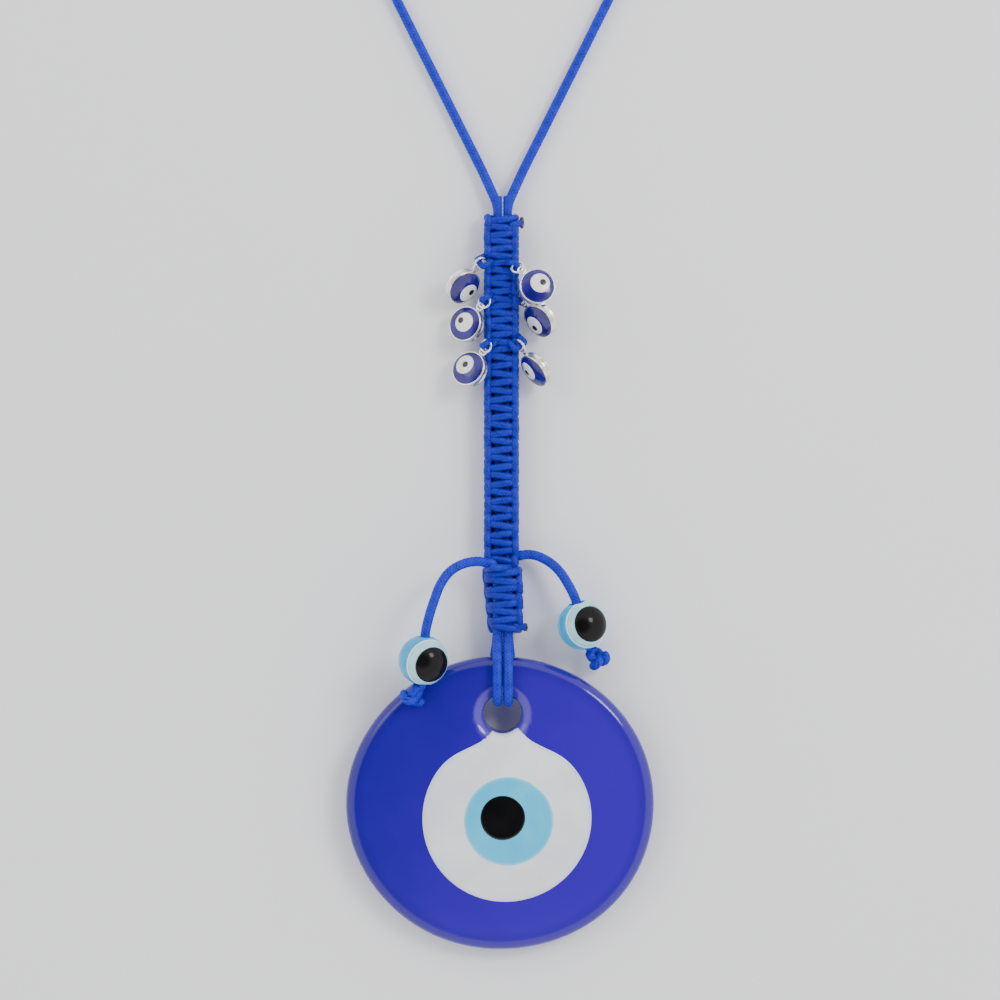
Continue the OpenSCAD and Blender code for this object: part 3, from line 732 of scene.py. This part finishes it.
def makeStay(name):
    at, axis = rings[name]
    side = 1 if "right" in name else -1
    inward = np.array([-side, 0.4, 0])
    inward = unit(inward - axis * inward.dot(axis)) * stayShape["reach"]
    above, below = at + axis * stayShape["rise"], at - axis * stayShape["rise"]
    points = [(below[0] + inward[0], below[1] + inward[1], 3.0), below + inward * 0.55, below, at,
              above, above + inward * 0.5, (above[0] + inward[0], above[1] + inward[1], 4.2)]
    short = name.replace("_", " ").title().replace(" ", "")
    cordTube("ringStay" + short, points, stayShape["radius"], "knotting_cord", "braid", plaits=4,
             pitch=0.62, depth=0.05, sides=16, step=0.15, shape=dentedByRings)


for name in charmNames:
    makeStay(name)


# the last knot's cord passes over the start of the left tail and holds it
tailWrapRoute = [(-3.0, 2.6, 3.6), (-2.9, 2.7, 5.6), (-2.1, 3.0, 7.6), (-0.9, 3.1, 8.35), (0.5, 3.0, 7.3),
                 (1.5, 2.8, 5.8), (2.2, 2.7, 4.2)]
cordTube("tailWrap", tailWrapRoute, knotCord["radius"], "knotting_cord", "braid", **undented)


# the right tail comes out of the braid's side through this short fixed length
tailRootRoute = [(1.6, 5.2, 2.6), (4.5, 5.8, 2.65), (6.1, 5.98, 2.85)]
cordTube("tailRoot", tailRootRoute, mainCord["radius"] + 0.03, "braided_cord", "braid")


# core strands and sling
slingCord = {"left": [
    (-0.7, -9.5, 5.3), (-0.7, -11.7, 5.4), (-0.7, -12.7, 5.5), (-0.7, -14.6, 6.9), (-0.7, -17.5, 8.9),
    (-0.7, -20.5, 10), (-0.7, -24, 10.4),
    (-0.7, -26.3, 9.8), (-0.7, -27.15, 8.2), (-0.7, -27.15, 5.5), (-0.75, -27.1, 2.9), (-0.9, -26.3, 1.5),
    (-1.2, -24, 1.2), (-1.5, -19, 1.2), (-0.9, -14, 1.5), (-0.7, -11.7, 1.9), (-0.7, -9.5, 1.9)],
    "right": [
    (1.7, -9.5, 5.3), (1.7, -11.7, 5.4), (1.7, -12.7, 5.5), (1.7, -14.6, 6.9), (1.7, -17.5, 8.9),
    (1.7, -20.5, 10), (1.7, -24, 10.4),
    (1.7, -26.3, 9.8), (1.7, -27.2, 8.2), (1.7, -27.2, 5.5), (1.75, -27.1, 2.9), (1.9, -26.3, 1.5),
    (2.1, -24, 1.2), (2.3, -19, 1.2), (1.9, -14, 1.5), (1.7, -11.7, 1.9), (1.7, -9.5, 1.9)]}
for side, points in slingCord.items():
    piece, _ = mainTube("sling" + side.capitalize(), points, "braided_cord", None, ["sling_" + side])
    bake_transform(piece)

coreRuns = {"Left": (-0.7, -1.05), "Right": (1.6, 2.0)}
for side, (x, spread) in coreRuns.items():
    route = [(x, 3.0, 2.6), (x, 40, 2.6), (x, 84, 2.6), (x + spread * 0.12, 85.4, 2.55)]
    cordTube("coreStrand" + side, route, 1.04, "braided_cord", "braid",
             ["core_strands"] if side == "Left" else ())
for x in (-0.7, 1.7):
    for z in (5.4, 1.9):
        name = "wrapStrand" + ("Front" if z > 3 else "Back") + ("Left" if x < 0 else "Right")
        route = [(x, 3.2, z * 0.6 + 1.2), (x, 0.5, z), (x, -6, z), (x, -10.6, z)]
        cordTube(name, route, 1.08, "braided_cord", "braid")
print("strands ready")


# scorched cord ends
def makeScorched(name, node, lumps):
    low, high = boxOf(node)
    middle, half = (low + high) / 2, (high - low) / 2
    rows, columns = 26, 32
    points = []
    for i in range(1, rows):
        a = math.pi * i / rows
        for k in range(columns):
            b = 2 * math.pi * k / columns
            way = np.array([math.sin(a) * math.cos(b), math.sin(a) * math.sin(b), math.cos(a)])
            bulge = 0.84 + 0.16 * math.sin(lumps[0] * way[0] + 1) * math.sin(lumps[1] * way[1] + 2) \
                * math.sin(lumps[2] * way[2])
            edge = np.sign(way) * np.abs(way) ** 0.72
            points.append(middle + edge * half * bulge)
    count = len(points)
    points += [middle + (0, 0, half[2] * 0.82), middle - (0, 0, half[2] * 0.82)]
    faces = gridFaces(rows - 1, columns)
    faces += [(k, count, (k + 1) % columns) for k in range(columns)]
    last = (rows - 2) * columns
    faces += [(last + (k + 1) % columns, count + 1, last + k) for k in range(columns)]
    return makePiece(name, points, outward(points, faces), "melted_cord", "braid", [node])


for place, lumps, start in (("top", (6, 7, 5), (1.9, 80.6, 4.5)), ("bottom", (7, 5, 6), (2.3, -9.9, 5.9))):
    node = "melted_end_" + place
    makeScorched("meltedEnd" + place.capitalize(), node, lumps)
    middle = middleOf(node)
    halfway = (np.array(start) + middle) / 2 + (0, 0, 0.35)
    cordTube("cutEnd" + place.capitalize(), [start, halfway, middle], knotCord["radius"], "knotting_cord",
             "braid", **{**undented, "depth": 0.1})


# the glass eye
eye = {"wide": 35.0, "high": 33.45, "y": -50.45, "low": 1.63, "rim": 5.0, "thick": 7.5, "lean": 3.0,
       "hole": (0.43, -29.65), "holeRadius": 4.35, "bevel": 6.7, "bevelDeep": 1.4, "backBevel": 5.3,
       "backDeep": 0.7, "edgeRound": 2.3}
leanSin, leanCos = math.sin(math.radians(eye["lean"])), math.cos(math.radians(eye["lean"]))
discBase = boxOf("glass_disc")[0][2]


def ovalShare(x, y):
    # 0 at the middle of the disc, 1 on its edge; the edge wanders a little, as in poured glass
    dx, dy = x, y - eye["y"]
    angle = np.arctan2(dy, dx)
    wander = 1 + 0.0035 * np.sin(3 * angle + 0.7) + 0.0025 * np.sin(5 * angle + 2.1)
    return np.sqrt((dx / eye["wide"]) ** 2 + (dy / eye["high"]) ** 2) * wander


def faceHeight(x, y):
    # the front face above the disc's own base, with a low dome, a round rim and the hole's bevel
    share = np.clip(ovalShare(x, y), 0, 1)
    height = eye["rim"] + (eye["thick"] - eye["rim"]) * (1 - share ** 2)
    inset = eye["edgeRound"] / eye["wide"]
    edge = np.clip((share - 1 + inset) / inset, 0, 1)
    height = height - eye["edgeRound"] * (1 - np.sqrt(np.clip(1 - edge ** 2, 0, 1)))
    far = np.hypot(x - eye["hole"][0], y - eye["hole"][1])
    slope = np.clip((eye["bevel"] - far) / (eye["bevel"] - eye["holeRadius"]), 0, 1)
    return height - eye["bevelDeep"] * slope ** 1.6 + 0.10 * np.exp(-((far - 7.4) / 0.9) ** 2)


def backHeight(x, y):
    share = np.clip(ovalShare(x, y), 0, 1)
    inset = 1.9 / eye["wide"]
    edge = np.clip((share - 1 + inset) / inset, 0, 1)
    height = 1.9 * (1 - np.sqrt(np.clip(1 - edge ** 2, 0, 1)))
    far = np.hypot(x - eye["hole"][0], y - eye["hole"][1])
    slope = np.clip((eye["backBevel"] - far) / (eye["backBevel"] - eye["holeRadius"]), 0, 1)
    return height + eye["backDeep"] * slope ** 1.4


def leaned(points):
    # the disc leans on the cord that passes behind it, so its hole end is a little higher
    p = np.array(points, float)
    y = p[:, 1] - eye["y"]
    z = p[:, 2]
    return np.stack([p[:, 0], eye["y"] + y * leanCos - z * leanSin,
                     discBase + eyeLift + y * leanSin + z * leanCos], 1)


eyeLift = eye["high"] * leanSin - 0.35


def makeDisc(columns=288, rows=64):
    # rays from the hole to the rim: front face outwards, round the rim, back face inwards, hole wall
    hx, hy = eye["hole"]
    angle = 2 * math.pi * np.arange(columns) / columns
    cosA, sinA = np.cos(angle), np.sin(angle)
    reach = np.full(columns, 10.0)
    for _ in range(40):  # distance from the hole to the edge along each ray
        share = ovalShare(hx + reach * cosA, hy + reach * sinA)
        reach += (1 - share) * 30
    rings = []
    places = 1 - (1 - np.linspace(0, 1, rows)) ** 1.6
    for share in places:
        r = eye["holeRadius"] + (reach - eye["holeRadius"]) * share
        x, y = hx + r * cosA, hy + r * sinA
        rings.append(np.stack([x, y, faceHeight(x, y)], 1))
    for share in places[::-1][1:]:
        r = eye["holeRadius"] + (reach - eye["holeRadius"]) * share
        x, y = hx + r * cosA, hy + r * sinA
        rings.append(np.stack([x, y, backHeight(x, y)], 1))
    for share in (0.2, 0.4, 0.6, 0.8):
        front, back = rings[0], rings[2 * rows - 2]
        wall = back + (front - back) * share
        neck = 0.12 * math.sin(math.pi * share)
        wall[:, 0] -= cosA * -neck
        wall[:, 1] -= sinA * -neck
        rings.append(wall)
    flat = np.vstack(rings)
    far = np.hypot(flat[:, 0] - hx, flat[:, 1] - hy)
    # mask for the painted light round the hole: 1 on the bevel and the hole wall, fading out just past the
    # bevel
    bevel = np.clip((eye["bevel"] + 0.15 - far) / 0.5, 0, 1)
    faces = gridFaces(len(rings), columns, 0, True)
    points = leaned(flat)
    return makePiece("glassDisc", points, outward(points, faces), "cobalt_glass", "disc", ["glass_disc"],
                     {"rim": ovalShare(flat[:, 0], flat[:, 1]), "bevel": bevel})


pools = {
    "whiteGlass": {"slot": "white_glass", "node": "white_glass", "at": (1.37, -53.3), "radius": 19.2,
                   "raise": 0.13, "low": 0.35, "neck": True},
    "lightBlueGlass": {"slot": "light_blue_glass", "node": "light_blue_glass", "at": (1.8, -53.9),
                       "radius": 10.3, "raise": 0.24, "low": 0.10, "neck": False},
    "blackGlass": {"slot": "black_glass", "node": "black_glass", "at": (0.48, -53.1), "radius": 5.3,
                   "raise": 0.36, "low": 0.20, "neck": False}}


def poolEdge(spec, angle):
    # distance from the pool's middle to its edge; the white one is drawn up to the hole
    edge = spec["radius"] * (1 + 0.004 * np.sin(2 * angle + 0.5) + 0.003 * np.sin(3 * angle + 1.7))
    if spec["neck"]:
        up = np.abs(np.arctan2(np.sin(angle - math.pi / 2), np.cos(angle - math.pi / 2)))
        edge = edge - 0.85 * np.exp(-((up - 0.45) / 0.28) ** 2) + 2.9 * np.exp(-(up / 0.175) ** 2)
        hx, hy = eye["hole"][0] - spec["at"][0], eye["hole"][1] - spec["at"][1]
        along = hx * np.cos(angle) + hy * np.sin(angle)
        off = np.abs(hx * np.sin(angle) - hy * np.cos(angle))
        bound = eye["holeRadius"] + 0.12
        near = along - np.sqrt(np.clip(bound ** 2 - off ** 2, 0, None))
        limit = np.where((off < bound) & (along > 0), near, 99)
        edge = np.minimum(edge, limit)
    return edge


def makePool(name, spec, columns=192, rows=40):
    # a thin lens that follows the disc's face, with a soft rolled edge
    x0, y0 = spec["at"]
    angle = 2 * math.pi * np.arange(columns) / columns
    edge = poolEdge(spec, angle)
    rings, shares = [], []
    for share in np.linspace(0.03, 1, rows):
        r = edge * share
        x, y = x0 + r * np.cos(angle), y0 + r * np.sin(angle)
        fromEdge = edge * (1 - share)
        rise = spec["raise"] * np.sqrt(np.clip(1 - np.clip(1 - fromEdge / 0.9, 0, 1) ** 2, 0, 1))
        rings.append(np.stack([x, y, faceHeight(x, y) - 0.03 + rise], 1))
        shares.append(np.full(columns, share))
    for share in (1.0, 0.97, 0.5, 0.03):
        r = edge * share
        x, y = x0 + r * np.cos(angle), y0 + r * np.sin(angle)
        rings.append(np.stack([x, y, faceHeight(x, y) - (0.03 if share == 1.0 else spec["low"])], 1))
        shares.append(np.full(columns, share))
    rings[rows] = rings[rows - 1] - (0, 0, 0.10)
    top = (x0, y0, float(faceHeight(x0, y0)) - 0.03 + spec["raise"])
    bottom = (x0, y0, float(faceHeight(x0, y0)) - spec["low"])
    flat = np.vstack(rings + [[top, bottom]])
    count = columns * len(rings)
    faces = gridFaces(len(rings), columns)
    faces += [(k, count, (k + 1) % columns) for k in range(columns)]
    last = count - columns
    faces += [(last + (k + 1) % columns, count + 1, last + k) for k in range(columns)]
    points = leaned(flat)
    rim = np.concatenate(shares + [[0, 0]])
    return makePiece(name, points, outward(points, faces), spec["slot"], "disc", [spec["node"]], {"rim": rim})


makeDisc()
for name, spec in pools.items():
    makePool(name, spec)
print("glass eye ready")


# charms
charm = {"radius": 4.1, "thick": 1.9, "enamel": 3.9, "dome": 0.72, "spot": 2.25, "dot": 0.8,
         "arm": 5.15, "eyelet": 0.85, "eyeletWire": 0.25}
faceMarks = {
    "upper_left": ((0.51, -0.52), (-0.5, -1.5), (0, -1.95)),
    "upper_right": ((0.16, 0.22), (0.1, -0.8), (-0.2, -1.4)),
    "middle_left": ((-0.48, 0.2), (0.2, 0.05), (0.05, 0.95)),
    "middle_right": ((-0.62, -0.49), (0, 1.25), (-0.5, 1.7)),
    "lower_left": ((-0.43, 0.31), (0.2, 0.95), (0.3, 0.75)),
    "lower_right": ((-0.7, -0.56), (0.65, 1.1), (0.45, 1.85))}


def domeHeight(r):
    ball = (charm["enamel"] ** 2 + charm["dome"] ** 2) / (2 * charm["dome"])
    edge = np.clip((r - charm["enamel"] + 0.45) / 0.45, 0, 1)
    curve = np.sqrt(ball ** 2 - np.minimum(r, charm["enamel"]) ** 2)
    return charm["thick"] / 2 + charm["dome"] - ball + curve - 0.10 * edge ** 2


def onFaces(points, faces):
    # a second copy, turned over to the charm's back
    turned = np.array(points) * (1, -1, -1)
    more = [tuple(i + len(points) for i in f) for f in faces]
    return np.vstack([points, turned]), list(faces) + more


def spotSolid(at, radius, rise, sink, columns=56, rows=8):
    # a flat drop of enamel on the dome
    angle = 2 * math.pi * np.arange(columns) / columns
    rings = []
    for share in np.linspace(0.12, 1, rows):
        x, y = at[0] + radius * share * np.cos(angle), at[1] + radius * share * np.sin(angle)
        lift = rise * math.sqrt(max(0, 1 - max(0, (share - 0.8) / 0.2) ** 2))
        rings.append(np.stack([x, y, domeHeight(np.hypot(x, y)) + lift], 1))
    for share, depth in ((1, sink * 0.5), (0.96, sink), (0.12, sink)):
        x, y = at[0] + radius * share * np.cos(angle), at[1] + radius * share * np.sin(angle)
        rings.append(np.stack([x, y, domeHeight(np.hypot(x, y)) - depth], 1))
    middle = float(domeHeight(np.hypot(*at)))
    points = np.vstack(rings + [[(*at, middle + rise), (*at, middle - sink)]])
    faces = gridFaces(len(rings), columns)
    count = len(rings) * columns
    faces += [(k, count, (k + 1) % columns) for k in range(columns)]
    last = count - columns
    faces += [(last + (k + 1) % columns, count + 1, last + k) for k in range(columns)]
    return points, outward(points, faces)


def bandSolid():
    # a cast rim with rolled lips and a shallow waist
    r, h = charm["radius"], charm["thick"] / 2
    profile = [(r - 0.34, -h + 0.10), (r - 0.24, -h - 0.02), (r - 0.10, -h), (r - 0.01, -h + 0.10),
               (r, -h + 0.26), (r - 0.10, -h + 0.48), (r - 0.14, 0), (r - 0.10, h - 0.48), (r, h - 0.26),
               (r - 0.01, h - 0.10), (r - 0.10, h), (r - 0.24, h + 0.02), (r - 0.34, h - 0.10),
               (r - 0.42, h - 0.4), (r - 0.42, -h + 0.4)]
    points, faces = lathe(profile, 128)
    return points, outward(points, faces)


def torusSolid(at, axis, major, minor, columns=56, sides=14, gap=0.0, start=(0, 1, 0)):
    turn = basisFor(axis, start)
    angle = gap / 2 + (2 * math.pi - gap) * np.arange(columns) / (columns - (1 if gap else 0))
    rings = []
    for a in angle:
        outwardWay = np.array([math.cos(a), math.sin(a), 0])
        ring = [outwardWay * (major + minor * math.cos(b)) + np.array([0, 0, minor * math.sin(b)])
                for b in 2 * math.pi * np.arange(sides) / sides]
        rings.append(ring)
    points = np.vstack(rings) @ turn.T + at
    faces = gridFaces(columns, sides, 0, not gap)
    if gap:
        faces += [tuple(reversed(range(sides))), tuple((columns - 1) * sides + k for k in range(sides))]
    return points, outward(points, faces)


def joined(*solids):
    points, faces, first = [], [], 0
    for p, f in solids:
        points.append(p)
        faces += [tuple(i + first for i in face) for face in f]
        first += len(p)
    return np.vstack(points), faces


def makeCharm(name):
    (nx, ny), spot, dot = faceMarks[name]
    n = np.array([nx, ny, math.sqrt(1 - nx * nx - ny * ny)])
    link, tilt = jointAt("charm_tilt_" + name), jointWay("charm_tilt_" + name)
    v = np.cross(tilt, n)
    turn = np.stack([v, tilt, n], axis=1)
    centre = link - v * charm["arm"]
    ringAt, ringAxis = rings[name]
    body = "charm_" + name
    short = name.replace("_", " ").title().replace(" ", "")

    def put(piece, slotName, solid, node):
        points, faces = solid
        return makePiece(piece + short, points @ turn.T + centre, faces, slotName, body,
                         [node + "_" + name])

    eyelet = torusSolid(np.array([charm["arm"], 0, 0]), (0, 0, 1), charm["eyelet"] - 0.02,
                        charm["eyeletWire"])
    stem = torusSolid(np.array([charm["radius"] + 0.02, 0, 0]), (0, 0, 1), 0.34, 0.24, 32, 12)
    put("band", "silver_metal", joined(bandSolid(), eyelet, stem), "band")
    size = charm["enamel"]
    shares = np.linspace(0, 1, 18)
    profile = [(0, charm["thick"] / 2 - 0.5)] + [(size - 0.05, charm["thick"] / 2 - 0.5)] + \
        [(size * s, float(domeHeight(size * s))) for s in shares[::-1]]
    points, faces = dome(profile, 96)
    put("enamel", "navy_enamel", onFaces(points, outward(points, faces)), "enamel")
    put("white", "white_enamel", onFaces(*spotSolid(spot, charm["spot"], 0.035, 0.10)), "white")
    put("pupil", "black_enamel", onFaces(*spotSolid(dot, charm["dot"], 0.075, 0.12, 40, 6)), "pupil")
    split = unit(ringAt - link)
    points, faces = torusSolid(ringAt, ringAxis, ringShape["radius"], ringShape["wire"], 80, 16,
                               ringShape["split"], np.cross(ringAxis, split) + split * 0.4)
    makePiece("jumpRing" + short, points, faces, "silver_metal", "ring_" + name, ["jump_ring_" + name])


for name in charmNames:
    makeCharm(name)
print("charms ready")


# floor and light
floorLook = Shader("floorPaper")
paper = floorLook.noise(30, 2.0)
floorMaterial = floorLook.finish(Base_Color=floorLook.blend(paper, (0.93, 0.93, 0.94), (0.95, 0.95, 0.955)),
                                 Roughness=0.85, Specular_IOR_Level=0.1)
floorMesh = bpy.data.meshes.new("floor")
floorMesh.from_pydata([(-3, -3, 0), (3, -3, 0), (3, 3, 0), (-3, 3, 0)], [], [(0, 1, 2, 3)])
floorMesh.materials.append(floorMaterial)
floor = bpy.data.objects.new("floor", floorMesh)
floor.location = (0, 0, -0.0002)
scene.collection.objects.link(floor)

world = bpy.data.worlds.new("studio")
scene.world = world
world.use_nodes = True
sky = world.node_tree
skyPlace = sky.nodes.new("ShaderNodeTexCoord")
skyParts = sky.nodes.new("ShaderNodeSeparateXYZ")
skyShade = sky.nodes.new("ShaderNodeMapRange")
skyShade.interpolation_type = "SMOOTHSTEP"
for socket, value in (("From Min", 0.70), ("From Max", 0.95), ("To Min", 1.75), ("To Max", 0.10)):
    skyShade.inputs[socket].default_value = value
sky.links.new(skyPlace.outputs["Generated"], skyParts.inputs[0])
sky.links.new(skyParts.outputs[2], skyShade.inputs["Value"])
sky.links.new(skyShade.outputs[0], sky.nodes["Background"].inputs["Strength"])
sky.nodes["Background"].inputs["Color"].default_value = (0.97, 0.98, 1.0, 1)


def softLight(name, place, aim, size, watts, colour=(1, 1, 1)):
    data = bpy.data.lights.new(name, "AREA")
    data.shape, data.size = "DISK", size
    data.energy, data.color = watts, colour
    lamp = bpy.data.objects.new(name, data)
    lamp.location = place
    lamp.rotation_euler = (Vector(aim) - Vector(place)).to_track_quat("-Z", "Y").to_euler()
    scene.collection.objects.link(lamp)


softLight("keyLight", (0.62, 0.42, 0.72), (0, 0, 0), 0.34, 4.0)
softLight("fillLight", (-0.7, 0.5, 0.6), (0, 0, 0), 0.5, 1.0)
